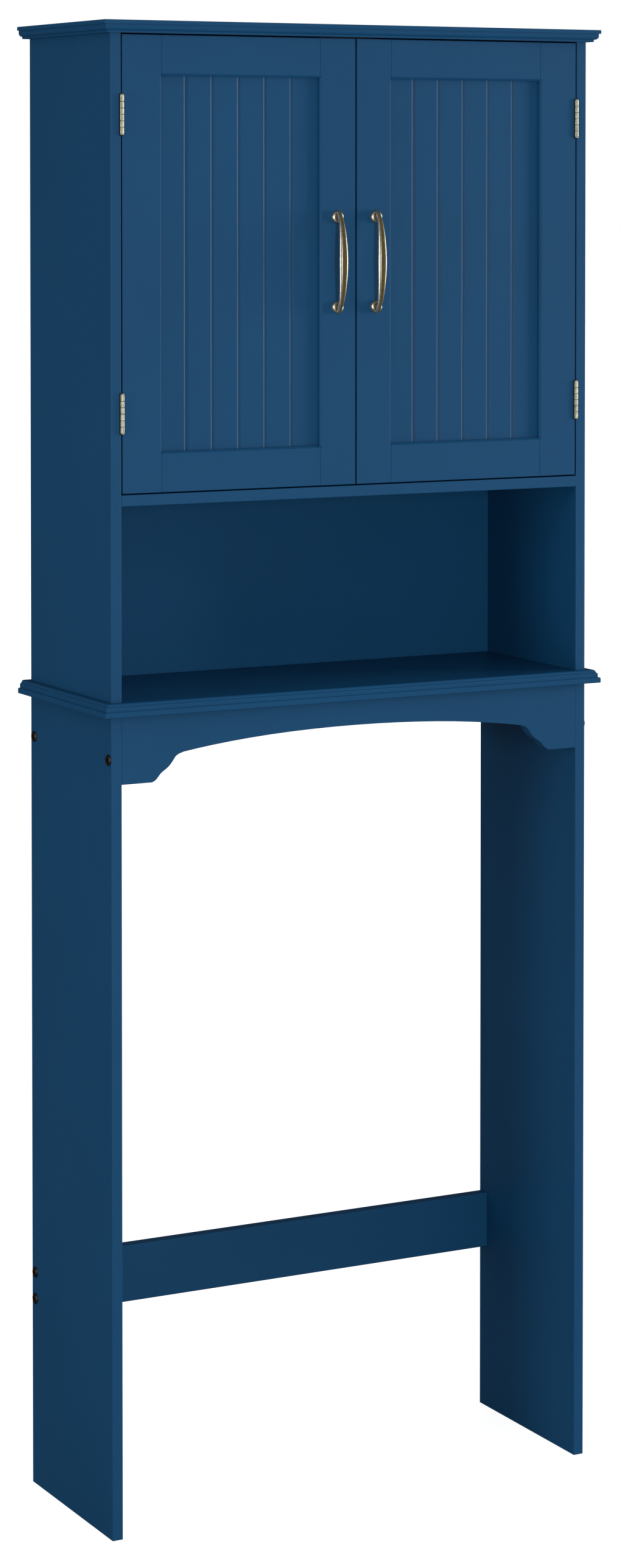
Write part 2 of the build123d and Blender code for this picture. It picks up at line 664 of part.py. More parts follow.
def cam_nuts():
    """The turning cams: a drum with a bore for the bolt's head and a cross slot."""
    slot_length = CAM_RADIUS * 1.2
    slot_width = 1.4
    slot_depth = 1.6
    with BuildPart() as nuts:
        for joint in ALL_CAMS:
            centre = joint.point + joint.direction * CAM_SETBACK
            mouth = centre + joint.mouth * CAM_AXIS_DEPTH
            rod(mouth, joint.mouth * -1, CAM_HEIGHT, CAM_RADIUS)
            entry = centre - joint.direction * CAM_RADIUS
            bore_length = CAM_RADIUS + CAM_HEAD_LENGTH
            rod(entry, joint.direction, bore_length, CAM_HEAD_RADIUS + FIT, mode=Mode.SUBTRACT)
            with Locations(Plane(origin=mouth, z_dir=joint.mouth).location):
                Box(slot_length, slot_width, slot_depth * 2, mode=Mode.SUBTRACT)
                Box(slot_width, slot_length, slot_depth * 2, mode=Mode.SUBTRACT)
    save(nuts, "cam_nuts")


def shelf_screws():
    """Screws up through the shelf into the cupboard sides."""
    with BuildPart() as screws:
        for head in SHELF_SCREWS:
            flat_head_screw(
                head, UP, SHELF_SCREW_LENGTH, SHELF_SCREW_RADIUS,
                SHELF_SCREW_HEAD, SHELF_SCREW_HEAD_HEIGHT,
            )
    save(screws, "shelf_screws")


def leg_bolts():
    """Flat-headed bolts with a hexagon socket, through the legs into the rails."""
    with BuildPart() as bolts:
        for bolt in LEG_BOLTS:
            face = Vector(bolt.side * HALF_WIDTH, bolt.y, bolt.z)
            rod(face, inward(bolt.side), BOLT_LENGTH, BOLT_RADIUS)
            rod(face, outward(bolt.side), BOLT_HEAD_RIM, BOLT_HEAD_RADIUS)
            shoulder = face + outward(bolt.side) * BOLT_HEAD_RIM
            dome_height = BOLT_HEAD_HEIGHT - BOLT_HEAD_RIM
            cone(shoulder, outward(bolt.side), dome_height, BOLT_HEAD_RADIUS, BOLT_HEAD_FLAT)
            crown = face + outward(bolt.side) * BOLT_HEAD_HEIGHT
            with BuildSketch(Plane(origin=crown, z_dir=inward(bolt.side))) as socket:
                RegularPolygon(BOLT_SOCKET_RADIUS, 6)
            extrude(socket.sketch, amount=BOLT_SOCKET_DEPTH, mode=Mode.SUBTRACT)
    save(bolts, "leg_bolts")


def barrel_nuts():
    """Cross dowel nuts in the rails, with a screwdriver slot at the rear end."""
    slot_width = 1.2
    slot_depth = 1.0
    with BuildPart() as nuts:
        for bolt in LEG_BOLTS:
            x = bolt.side * (INNER_HALF - BARREL_NUT_SETBACK)
            start = Vector(x, bolt.y + NUT_FRONT, bolt.z)
            rod(start, TO_WALL, BARREL_NUT_LENGTH, BARREL_NUT_RADIUS)
            end = bolt.y + NUT_FRONT + BARREL_NUT_LENGTH
            block(
                (x - BARREL_NUT_RADIUS, end - slot_depth, bolt.z - slot_width / 2),
                (x + BARREL_NUT_RADIUS, end, bolt.z + slot_width / 2),
                mode=Mode.SUBTRACT,
            )
            bore = Vector(x - BARREL_NUT_RADIUS, bolt.y, bolt.z)
            rod(bore, Vector(1, 0, 0), BARREL_NUT_RADIUS * 2, BOLT_RADIUS + FIT / 2, mode=Mode.SUBTRACT)
    save(nuts, "barrel_nuts")


# ----- magnetic catch -------------------------------------------------------------------
def magnet_box(side, play, front):
    """The corners of a magnet, or of its pocket: play shrinks it all round."""
    half_length = MAGNET_LENGTH / 2 - play
    half_height = MAGNET_HEIGHT / 2 - play
    low = (side * STRIKE_FROM_CENTRE - half_length, front, STRIKE_Z - half_height)
    high = (side * STRIKE_FROM_CENTRE + half_length, CATCH_FRONT + MAGNET_DEPTH, STRIKE_Z + half_height)
    return low, high


def catch_housing():
    """The double catch under the top: a box with two magnet pockets and two screw lugs."""
    lug_reach = CATCH_HALF_LENGTH + CATCH_LUG_LENGTH
    rear_face = CATCH_FRONT + CATCH_DEPTH
    with BuildPart() as housing:
        block(
            (-CATCH_HALF_LENGTH, CATCH_FRONT, TOP_BOTTOM - CATCH_HEIGHT),
            (CATCH_HALF_LENGTH, rear_face, TOP_BOTTOM),
        )
        fillet(housing.edges().filter_by(Axis.X).group_by(Axis.Z)[0], EASE)
        block(
            (-lug_reach, CATCH_FRONT + CATCH_LUG_INSET, TOP_BOTTOM - CATCH_LUG_THICKNESS),
            (lug_reach, rear_face - CATCH_LUG_INSET, TOP_BOTTOM),
        )
        for side in SIDES.values():
            block(*magnet_box(side, 0, CATCH_FRONT), mode=Mode.SUBTRACT)
        for screw in CATCH_SCREWS:
            rod(screw, DOWN, CATCH_LUG_THICKNESS, CATCH_SCREW_RADIUS + FIT, mode=Mode.SUBTRACT)
    save(housing, "catch_housing")


def catch_magnets():
    """The two magnets, standing a little out of the housing."""
    with BuildPart() as magnets:
        for side in SIDES.values():
            block(*magnet_box(side, FIT, CATCH_FRONT - MAGNET_PROUD))
    save(magnets, "catch_magnets")


def catch_screws():
    """Pan-headed screws that hold the catch."""
    with BuildPart() as screws:
        for screw in CATCH_SCREWS:
            seat = screw + DOWN * CATCH_LUG_THICKNESS
            pan_head_screw(
                seat, UP, CATCH_LUG_THICKNESS + CATCH_SCREW_GRIP, CATCH_SCREW_RADIUS,
                CATCH_SCREW_HEAD, CATCH_SCREW_HEAD_HEIGHT,
            )
    save(screws, "catch_screws")


def strike_plate(name, side):
    """The steel plate on the back of a door that the magnet holds."""
    with BuildPart() as plate:
        block(
            (side * (STRIKE_FROM_CENTRE - STRIKE_WIDTH / 2), DOOR_BACK, STRIKE_Z - STRIKE_HEIGHT / 2),
            (
                side * (STRIKE_FROM_CENTRE + STRIKE_WIDTH / 2),
                DOOR_BACK + STRIKE_THICKNESS,
                STRIKE_Z + STRIKE_HEIGHT / 2,
            ),
        )
        fillet(plate.edges().filter_by(Axis.Y), 1.5)
        seat = Vector(side * STRIKE_FROM_CENTRE, DOOR_BACK + STRIKE_THICKNESS, STRIKE_Z)
        cone(
            seat, TO_FRONT, STRIKE_THICKNESS,
            STRIKE_SCREW_HEAD + FIT, STRIKE_SCREW_RADIUS + FIT, mode=Mode.SUBTRACT,
        )
    save(plate, f"strike_plate_{name}")

    with BuildPart() as screw:
        flat_head_screw(
            seat, TO_FRONT, STRIKE_SCREW_LENGTH, STRIKE_SCREW_RADIUS,
            STRIKE_SCREW_HEAD, STRIKE_THICKNESS,
        )
    save(screw, f"strike_screw_{name}")


# ----- hinges ---------------------------------------------------------------------------
def hinge_screw_points(side, hinge_z, leaf_side):
    """The middles of the screw heads on one leaf."""
    x = side * (HINGE_X + leaf_side * LEAF_HALF_GAP)
    heights = (hinge_z - HINGE_SCREW_SPREAD, hinge_z + HINGE_SCREW_SPREAD)
    return [Vector(x, HINGE_Y + HINGE_SCREW_DEPTH, z) for z in heights]


def hinge_leaf(name, side, hinge_z, leaf_side):
    """A leaf plate with every other knuckle. leaf_side is 1 on the rack, -1 on the door."""
    axis_x = side * HINGE_X
    near = axis_x + side * leaf_side * LEAF_HALF_GAP
    far = near + side * leaf_side * LEAF_THICKNESS
    bottom = hinge_z - HINGE_LENGTH / 2
    pitch = HINGE_LENGTH / KNUCKLES
    first = 0 if leaf_side == 1 else 1
    clear_of_barrel = BARREL_RADIUS + LEAF_CLEARANCE
    with BuildPart() as leaf:
        block(
            (near, HINGE_Y + clear_of_barrel, bottom),
            (far, HINGE_Y + LEAF_DEPTH, bottom + HINGE_LENGTH),
        )
        fillet(leaf.edges().filter_by(Axis.X).group_by(Axis.Y)[-1], LEAF_CORNER)
        for knuckle in range(first, KNUCKLES, 2):
            low = bottom + knuckle * pitch + KNUCKLE_PLAY / 2
            high = bottom + (knuckle + 1) * pitch - KNUCKLE_PLAY / 2
            block((near, HINGE_Y, low), (far, HINGE_Y + clear_of_barrel, high))
            foot = Vector(axis_x, HINGE_Y, low + KNUCKLE_BEVEL)
            head = Vector(axis_x, HINGE_Y, high - KNUCKLE_BEVEL)
            rod(foot, UP, high - low - 2 * KNUCKLE_BEVEL, BARREL_RADIUS)
            cone(foot, DOWN, KNUCKLE_BEVEL, BARREL_RADIUS, BARREL_RADIUS - KNUCKLE_BEVEL)
            cone(head, UP, KNUCKLE_BEVEL, BARREL_RADIUS, BARREL_RADIUS - KNUCKLE_BEVEL)
        bore = Vector(axis_x, HINGE_Y, bottom)
        rod(bore, UP, HINGE_LENGTH, PIN_RADIUS + PIN_PLAY, mode=Mode.SUBTRACT)
        for screw in hinge_screw_points(side, hinge_z, leaf_side):
            direction = outward(side) * leaf_side
            cone(
                screw, direction, LEAF_THICKNESS,
                HINGE_SCREW_HEAD + FIT, HINGE_SCREW_RADIUS + FIT, mode=Mode.SUBTRACT,
            )
    save(leaf, name)


def hinge_pin(name, side, hinge_z):
    """The hinge pin, with a rounded head at each end of the barrel."""
    reach = HINGE_LENGTH / 2 + KNUCKLE_PLAY / 2
    with BuildPart() as pin:
        foot = Vector(side * HINGE_X, HINGE_Y, hinge_z - reach)
        rod(foot, UP, reach * 2, PIN_RADIUS)
        for direction in (UP, DOWN):
            end = Vector(side * HINGE_X, HINGE_Y, hinge_z) + direction * reach
            rod(end, direction, PIN_HEAD_HEIGHT, PIN_HEAD_RADIUS)
        rims = pin.edges().filter_by(GeomType.CIRCLE).group_by(Axis.Z)
        fillet(rims[0] + rims[-1], PIN_HEAD_ROUND)
    save(pin, name)


def hinges(name, side):
    """Both hinges of a door, with the screws of their door leaves."""
    for height_name, hinge_z in HINGE_HEIGHTS.items():
        hinge_leaf(f"hinge_{name}_{height_name}_frame_leaf", side, hinge_z, 1)
        hinge_leaf(f"hinge_{name}_{height_name}_door_leaf", side, hinge_z, -1)
        hinge_pin(f"hinge_{name}_{height_name}_pin", side, hinge_z)
    with BuildPart() as screws:
        for hinge_z in HINGE_HEIGHTS.values():
            for head in hinge_screw_points(side, hinge_z, -1):
                flat_head_screw(
                    head, inward(side), HINGE_SCREW_LENGTH, HINGE_SCREW_RADIUS,
                    HINGE_SCREW_HEAD, LEAF_THICKNESS,
                )
    save(screws, f"hinge_door_screws_{name}")


def hinge_frame_screws():
    """The screws of all four frame leaves."""
    with BuildPart() as screws:
        for side in SIDES.values():
            for hinge_z in HINGE_HEIGHTS.values():
                for head in hinge_screw_points(side, hinge_z, 1):
                    flat_head_screw(
                        head, outward(side), HINGE_SCREW_LENGTH, HINGE_SCREW_RADIUS,
                        HINGE_SCREW_HEAD, LEAF_THICKNESS,
                    )
    save(screws, "hinge_frame_screws")


# ----- doors ----------------------------------------------------------------------------
def frame_member(member, side, near, far, bottom, top):
    """A stile or rail, with V joints all round and the wide bevel beside the panel."""
    block((near, FRONT, bottom), (far, DOOR_BACK, top))
    chamfer(member.faces().sort_by(Axis.Y)[0].edges(), DOOR_EDGE)
    chamfer(member.faces().sort_by(Axis.Y)[-1].edges(), DOOR_EDGE)
    front_plane = Plane(
        origin=(side * OPENING_MIDDLE, FRONT, DOOR_MIDDLE), x_dir=(1, 0, 0), z_dir=(0, 1, 0)
    )
    with BuildSketch(front_plane) as mouth:
        Rectangle(
            OPENING_OUTER - OPENING_INNER + 2 * PANEL_BEVEL,
            OPENING_TOP - OPENING_BOTTOM + 2 * PANEL_BEVEL,
        )
    extrude(mouth.sketch, amount=PANEL_BEVEL, taper=45, mode=Mode.SUBTRACT)


def panel_groove(low, high):
    """The groove that the panel and the rails' tongues slide into."""
    block(
        (low[0], PANEL_FRONT - FIT / 2, low[1]),
        (high[0], PANEL_FRONT + PANEL_THICKNESS + FIT / 2, high[1]),
        mode=Mode.SUBTRACT,
    )


def hinge_stile(name, side):
    """The stile that the hinges are screwed to."""
    with BuildPart() as stile:
        frame_member(stile, side, side * OPENING_OUTER, side * DOOR_OUTER, DOOR_BOTTOM, DOOR_TOP)
        panel_groove((side * OPENING_OUTER, DOOR_BOTTOM), (side * (OPENING_OUTER + PANEL_GROOVE), DOOR_TOP))
        for hinge_z in HINGE_HEIGHTS.values():
            cut_hinge_seat(side, hinge_z, -1)
    save(stile, f"door_{name}_hinge_stile")


def meeting_stile(name, side):
    """The stile at the middle of the rack, which carries the handle and the strike plate."""
    with BuildPart() as stile:
        frame_member(stile, side, side * DOOR_INNER, side * OPENING_INNER, DOOR_BOTTOM, DOOR_TOP)
        panel_groove((side * (OPENING_INNER - PANEL_GROOVE), DOOR_BOTTOM), (side * OPENING_INNER, DOOR_TOP))
        for z in HANDLE_HEIGHTS:
            start = Vector(side * HANDLE_FROM_CENTRE, FRONT, z)
            rod(start, TO_WALL, THICK_BOARD, HANDLE_SCREW_RADIUS + FIT, mode=Mode.SUBTRACT)
        strike = Vector(side * STRIKE_FROM_CENTRE, DOOR_BACK, STRIKE_Z)
        rod(strike, TO_FRONT, STRIKE_SCREW_LENGTH, STRIKE_SCREW_RADIUS + FIT, mode=Mode.SUBTRACT)
    save(stile, f"door_{name}_meeting_stile")


def door_rail(name, side, place, bottom, top):
    """A rail with a panel groove on its inner edge and a tongue at each end."""
    is_top = place == "top"
    groove_low = bottom if is_top else top - PANEL_GROOVE
    tongue_low = bottom + PANEL_GROOVE if is_top else bottom
    tongue_high = top if is_top else top - PANEL_GROOVE
    near, far = side * OPENING_INNER, side * OPENING_OUTER
    with BuildPart() as rail:
        frame_member(rail, side, near, far, bottom, top)
        panel_groove((near, groove_low), (far, groove_low + PANEL_GROOVE))
        block(
            (near - side * TONGUE, PANEL_FRONT, tongue_low),
            (far + side * TONGUE, PANEL_FRONT + PANEL_THICKNESS, tongue_high),
        )
    save(rail, f"door_{name}_{place}_rail")


def door_panel(name, side):
    """The beadboard panel: one board with V grooves between its planks."""
    pitch = (OPENING_OUTER - OPENING_INNER) / PLANKS
    low, high = OPENING_BOTTOM - TONGUE, OPENING_TOP + TONGUE
    with BuildPart() as panel:
        block(
            (side * (OPENING_INNER - TONGUE), PANEL_FRONT, low),
            (side * (OPENING_OUTER + TONGUE), PANEL_FRONT + PANEL_THICKNESS, high),
        )
        with BuildSketch(Plane.XY.offset(low)):
            for groove in range(1, PLANKS):
                x = side * (OPENING_INNER + groove * pitch)
                with BuildLine():
                    Polyline(
                        (x - V_WIDTH / 2, PANEL_FRONT),
                        (x + V_WIDTH / 2, PANEL_FRONT),
                        (x, PANEL_FRONT + V_DEPTH),
                        close=True,
                    )
                make_face()
        extrude(amount=high - low, mode=Mode.SUBTRACT)
    save(panel, f"door_{name}_panel")


# ----- handles --------------------------------------------------------------------------
def bow(depth, end_depth, half):
    """Points of the bow seen from the side: (forward, height) from the foot of the arch."""
    return [
        (end_depth, -half),
        (end_depth + 0.56 * (depth - end_depth), -0.82 * half),
        (end_depth + 0.85 * (depth - end_depth), -0.45 * half),
        (depth, 0),
        (end_depth + 0.85 * (depth - end_depth), 0.45 * half),
        (end_depth + 0.56 * (depth - end_depth), 0.82 * half),
        (end_depth, half),
    ]


def handle(name, side):
    """A bow pull: a strap that widens to the middle, on two round bases."""
    x = side * HANDLE_FROM_CENTRE
    half = HANDLE_SPACING / 2
    outer = bow(HANDLE_PROJECTION, 5.0, half + 2.5)
    inner = bow(HANDLE_PROJECTION - HANDLE_STRAP, 1.0, half - 1.5)
    with BuildPart() as pull:
        side_view = Plane(origin=(x - HANDLE_WIDTH, FRONT, DOOR_MIDDLE), x_dir=(0, -1, 0), z_dir=(1, 0, 0))
        with BuildSketch(side_view):
            with BuildLine():
                Spline(*[(forward, -height) for forward, height in outer])
                Spline(*[(forward, -height) for forward, height in inner])
                Line((outer[0][0], -outer[0][1]), (inner[0][0], -inner[0][1]))
                Line((outer[-1][0], -outer[-1][1]), (inner[-1][0], -inner[-1][1]))
            make_face()
        extrude(amount=2 * HANDLE_WIDTH)
        with BuildSketch(Plane(origin=(x, FRONT, DOOR_MIDDLE), x_dir=(1, 0, 0), z_dir=(0, -1, 0))):
            with BuildLine():
                for edge in (-1, 1):
                    Spline(
                        (edge * HANDLE_END_WIDTH / 2, -half - 3),
                        (edge * HANDLE_WIDTH / 2, 0),
                        (edge * HANDLE_END_WIDTH / 2, half + 3),
                        tangents=((edge * 0.12, 1), (-edge * 0.12, 1)),
                    )
                for end in (-1, 1):
                    Line(
                        (-HANDLE_END_WIDTH / 2, end * (half + 3)),
                        (HANDLE_END_WIDTH / 2, end * (half + 3)),
                    )
            make_face()
        extrude(amount=HANDLE_PROJECTION + 1, mode=Mode.INTERSECT)
        for z in HANDLE_HEIGHTS:
            face = Vector(x, FRONT, z)
            rim_height = HANDLE_BASE_HEIGHT - HANDLE_BASE_BEVEL
            rod(face, TO_FRONT, rim_height, HANDLE_BASE_RADIUS)
            rim = face + TO_FRONT * rim_height
            top_radius = HANDLE_BASE_RADIUS - HANDLE_BASE_BEVEL
            cone(rim, TO_FRONT, HANDLE_BASE_BEVEL, HANDLE_BASE_RADIUS, top_radius)
        for z in HANDLE_HEIGHTS:
            face = Vector(x, FRONT, z)
            rod(face, TO_FRONT, HANDLE_SCREW_GRIP + FIT, HANDLE_SCREW_RADIUS + FIT, mode=Mode.SUBTRACT)
    save(pull, f"handle_{name}")


def handle_screws(name, side):
    """Machine screws through the meeting stile into the handle's bases."""
    with BuildPart() as screws:
        for z in HANDLE_HEIGHTS:
            seat = Vector(side * HANDLE_FROM_CENTRE, DOOR_BACK, z)
            pan_head_screw(
                seat, TO_FRONT, THICK_BOARD + HANDLE_SCREW_GRIP, HANDLE_SCREW_RADIUS,
                HANDLE_SCREW_HEAD, HANDLE_SCREW_HEAD_HEIGHT,
            )
    save(screws, f"handle_screws_{name}")


def door(name, side):
    """Everything that swings on one side."""
    hinge_stile(name, side)
    meeting_stile(name, side)
    door_rail(name, side, "bottom", DOOR_BOTTOM, OPENING_BOTTOM)
    door_rail(name, side, "top", OPENING_TOP, DOOR_TOP)
    door_panel(name, side)
    handle(name, side)
    handle_screws(name, side)
    strike_plate(name, side)


# ----- make every piece -----------------------------------------------------------------
top_panel()
mid_shelf()
cabinet_floor()
back_panel()
apron()
rear_rail()
stretcher()
adjustable_shelf()
shelf_pins()
dowels()
cam_bolts()
cam_nuts()
shelf_screws()
leg_bolts()
barrel_nuts()
catch_housing()
catch_magnets()
catch_screws()
hinge_frame_screws()
for side_name, side_sign in SIDES.items():
    upper_side(side_name, side_sign)
    leg_panel(side_name, side_sign)
    hinges(side_name, side_sign)
    door(side_name, side_sign)
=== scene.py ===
import json
import math

import bmesh
import bpy
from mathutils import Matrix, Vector


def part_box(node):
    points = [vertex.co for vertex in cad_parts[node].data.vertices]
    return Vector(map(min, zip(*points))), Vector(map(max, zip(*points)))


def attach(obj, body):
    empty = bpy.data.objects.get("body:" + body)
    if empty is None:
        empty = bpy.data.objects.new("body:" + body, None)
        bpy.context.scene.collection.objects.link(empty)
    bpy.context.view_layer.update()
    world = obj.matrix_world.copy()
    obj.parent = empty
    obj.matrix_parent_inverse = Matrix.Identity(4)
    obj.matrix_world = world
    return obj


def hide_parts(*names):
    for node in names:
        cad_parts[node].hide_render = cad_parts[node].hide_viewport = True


# Looks of the over-the-toilet storage rack: paint, brass and small hardware on the packed
# model, two finely made bow pulls, a pale studio and a camera from the front left.
# Metres, in the model's own frame: X to the right, Y to the wall, Z up.

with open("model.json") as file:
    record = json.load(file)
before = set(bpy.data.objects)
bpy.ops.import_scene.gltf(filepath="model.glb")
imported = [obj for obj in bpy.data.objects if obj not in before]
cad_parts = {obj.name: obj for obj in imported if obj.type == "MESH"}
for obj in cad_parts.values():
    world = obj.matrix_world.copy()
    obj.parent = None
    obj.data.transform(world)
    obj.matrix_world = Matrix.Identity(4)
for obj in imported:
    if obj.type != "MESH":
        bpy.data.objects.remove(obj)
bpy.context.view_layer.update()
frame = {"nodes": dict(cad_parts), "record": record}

MM = 0.001

# ----- camera and studio ----------------------------------------------------------------
CAMERA_PLACE = (-2.0670, -3.8773, 1.5199)
CAMERA_AZIMUTH = -28.016  # degrees; 0 looks along +Y
CAMERA_ELEVATION = 1.778
CAMERA_LENS = 86.29
CAMERA_SENSOR = 36.0
CAMERA_SHIFT = -0.31
CAMERA_REACH = 200.0

BACKDROP = 1.0  # what the camera sees behind the floor
SKY_LIGHT = 0.48  # even light from all round
SKY_SHINE = 0.03  # how bright that surround looks in reflections
FLOOR_SIZE = 60.0
FLOOR_DROP = 0.5 * MM  # keeps the floor clear of the rack's feet
FLOOR_COLOUR = (0.45, 0.45, 0.45, 1.0)
FLOOR_ROUGHNESS = 0.9
FLOOR_SPECULAR = 0.1
FLOOR_GLOW = 0.85  # lifts the far floor to the backdrop's white, for the camera only

# each soft light: azimuth and elevation in degrees, distance, width, height, watts
SOFT_LIGHTS = {
    "key_light": (70.0, 6.0, 4.6, 1.6, 1.7, 112.0),
    "front_light": (-10.0, 4.0, 5.0, 0.7, 1.0, 82.0),
    "left_light": (-80.0, 3.0, 3.8, 0.6, 2.0, 38.0),
}
LIGHT_AIM = Vector((0.0, 0.0, 1.0))

# ----- paint and metal ------------------------------------------------------------------
BLUE = (0.0066, 0.0640, 0.1570)
BLUE_BACK = (0.0064, 0.0620, 0.1520)
PAINT_SPECULAR = 0.17
BACK_SPECULAR = 0.09
SATIN = 0.44  # roughness of the boards' paint
SEMI_GLOSS = 0.38  # roughness of the mouldings' paint
PEEL_SPREAD = 0.03  # how far the roughness wanders
SANDING_RELIEF = 0.008 * MM
PEEL_RELIEF = 0.010 * MM
BRUSHED_RELIEF = 0.012 * MM
FINE_RELIEF = 0.02 * MM
PATINA_METALLIC = 0.5  # the brown oxide on the brass is only half a metal

# ----- bow pulls ------------------------------------------------------------------------
PULL_PROJECTION = 19.5 * MM
PULL_SPACING = 103.0 * MM
PULL_END_WIDTH = 4.4 * MM
PULL_WIDTH = 11.0 * MM
PULL_THICKNESS = 4.6 * MM
PULL_END_THICKNESS = 4.0 * MM
PULL_TIP = 5.6 * MM  # how far the strap runs past its screws
PULL_END_HEIGHT = 4.0 * MM  # from the door to the middle of the strap's ends
PULL_BELLY = 2.2  # the bow's fullness in the middle
PULL_SHOULDER = 0.62  # the bow's steepness at its ends
PULL_TAPER = 1.7  # how late the strap narrows towards its ends
PULL_SECTIONS = 96
ROSE_STEPS = 48
SCREW_BORE_RADIUS = 2.1 * MM
SCREW_BORE_DEPTH = 1.2 * MM
SHARP_ANGLE = 50.0  # degrees; flatter edges are shaded smooth

# half of the strap's section, from its back round the side to its front: across in parts of the half
# width, outwards in parts of the half thickness, and how rubbed the brass is; the bright rubbed flanks are
# partly real wear and partly a painted highlight
STRAP_SIDE = [
    (0.62, -1.00, 0.10), (0.86, -0.92, 0.45), (0.97, -0.62, 0.85), (1.00, -0.20, 1.00), (0.96, 0.22, 1.00),
    (0.84, 0.60, 1.00), (0.70, 0.85, 0.95), (0.62, 0.95, 0.35), (0.30, 0.99, 0.00),
]

# the base from its dished middle over the bright rim down to the door: radius and height over the door,
# and how rubbed the brass is; the rim's brightness is partly real wear and partly a painted highlight
ROSE_PROFILE = [
    (2.6 * MM, 2.70 * MM, 0.0), (4.3 * MM, 2.75 * MM, 0.1), (4.9 * MM, 3.10 * MM, 0.6),
    (5.4 * MM, 3.70 * MM, 1.0), (5.9 * MM, 3.98 * MM, 1.0), (6.4 * MM, 3.85 * MM, 1.0),
    (6.8 * MM, 3.40 * MM, 1.0), (7.0 * MM, 2.70 * MM, 0.8), (7.0 * MM, 1.20 * MM, 0.5),
    (6.9 * MM, 0.00 * MM, 0.1),
]


# ----- node helpers ---------------------------------------------------------------------
class Look:
    """A material with one Principled shader and short ways to wire patterns to it."""

    def __init__(self, name, roughness, metallic=0.0, specular=0.5):
        self.material = bpy.data.materials.new(name)
        self.material.use_nodes = True
        self.tree = self.material.node_tree
        self.tree.nodes.clear()
        output = self.tree.nodes.new("ShaderNodeOutputMaterial")
        self.shader = self.tree.nodes.new("ShaderNodeBsdfPrincipled")
        self.shader.inputs["Roughness"].default_value = roughness
        self.shader.inputs["Metallic"].default_value = metallic
        self.shader.inputs["Specular IOR Level"].default_value = specular
        self.tree.links.new(self.shader.outputs["BSDF"], output.inputs["Surface"])
        self.place = self.tree.nodes.new("ShaderNodeTexCoord").outputs["Object"]

    def noise(self, scale, stretch=(1.0, 1.0, 1.0), detail=2.0, offset=0.0):
        """A smooth random pattern; scale is in waves per metre, stretch multiplies each axis."""
        mapping = self.tree.nodes.new("ShaderNodeMapping")
        mapping.inputs["Scale"].default_value = [scale * part for part in stretch]
        mapping.inputs["Location"].default_value = (offset, offset * 0.7, offset * 1.3)
        pattern = self.tree.nodes.new("ShaderNodeTexNoise")
        pattern.inputs["Scale"].default_value = 1.0
        pattern.inputs["Detail"].default_value = detail
        self.tree.links.new(self.place, mapping.inputs["Vector"])
        self.tree.links.new(mapping.outputs["Vector"], pattern.inputs["Vector"])
        return pattern.outputs["Fac"]

    def spread(self, value, low, high, from_low=0.3, from_high=0.7):
        """Maps a pattern's usual range onto low to high."""
        node = self.tree.nodes.new("ShaderNodeMapRange")
        node.inputs["From Min"].default_value = from_low
        node.inputs["From Max"].default_value = from_high
        node.inputs["To Min"].default_value = low
        node.inputs["To Max"].default_value = high
        self.tree.links.new(value, node.inputs["Value"])
        return node.outputs["Result"]

    def blend(self, amount, first, second):
        """A colour between two others; each is a colour or the output of another blend."""
        node = self.tree.nodes.new("ShaderNodeMix")
        node.data_type = "RGBA"
        self.tree.links.new(amount, node.inputs["Factor"])
        for socket, colour in ((node.inputs[6], first), (node.inputs[7], second)):
            if isinstance(colour, tuple):
                socket.default_value = (*colour, 1.0)
            else:
                self.tree.links.new(colour, socket)
        return node.outputs[2]

    def attribute(self, name):
        """A number stored on the mesh."""
        node = self.tree.nodes.new("ShaderNodeAttribute")
        node.attribute_name = name
        return node.outputs["Fac"]

    def colour(self, value):
        """Wires a pattern to the base colour."""
        self.tree.links.new(value, self.shader.inputs["Base Color"])

    def roughness(self, value):
        """Wires a pattern to the roughness."""
        self.tree.links.new(value, self.shader.inputs["Roughness"])

    def metallic(self, value):
        """Wires a pattern to how metallic the surface is."""
        self.tree.links.new(value, self.shader.inputs["Metallic"])

    def bump(self, layers):
        """Relief from (pattern, height in metres) pairs, one on top of another."""
        below = None
        for pattern, height in layers:
            node = self.tree.nodes.new("ShaderNodeBump")
            node.inputs["Distance"].default_value = height
            self.tree.links.new(pattern, node.inputs["Height"])
            if below is not None:
                self.tree.links.new(below, node.inputs["Normal"])
            below = node.outputs["Normal"]
        self.tree.links.new(below, self.shader.inputs["Normal"])


def shade(colour, factor):
    """The same colour, lighter or darker."""
    return tuple(part * factor for part in colour)


# ----- materials ------------------------------------------------------------------------
def paint(name, colour, roughness, specular=PAINT_SPECULAR):
    """Sprayed paint on board: slight clouding, a fine orange peel and faint sanding lines."""
    look = Look(name, roughness, specular=specular)
    clouds = look.noise(5.0, detail=3.0)
    grain = look.noise(420.0, stretch=(1.0, 1.0, 0.06), detail=1.0, offset=3.0)
    peel = look.noise(620.0, detail=2.0, offset=7.0)
    cloudy = look.blend(look.spread(clouds, 0.0, 1.0), shade(colour, 0.96), shade(colour, 1.04))
    look.colour(look.blend(look.spread(grain, 0.0, 0.10), cloudy, shade(colour, 1.25)))
    look.roughness(look.spread(peel, roughness - PEEL_SPREAD, roughness + PEEL_SPREAD))
    look.bump([(grain, SANDING_RELIEF), (peel, PEEL_RELIEF)])
    return look.material


def hinge_brass():
    """Pale rolled brass, a little aged."""
    look = Look("hinge_brass_aged", 0.36, metallic=1.0)
    stain = look.noise(260.0, detail=3.0)
    rolled = look.noise(900.0, stretch=(1.0, 1.0, 0.1), detail=2.0, offset=5.0)
    look.colour(look.blend(look.spread(stain, 0.0, 1.0), (0.33, 0.31, 0.225), (0.44, 0.41, 0.30)))
    look.roughness(look.spread(rolled, 0.34, 0.46))
    look.bump([(rolled, 0.01 * MM)])
    return look.material


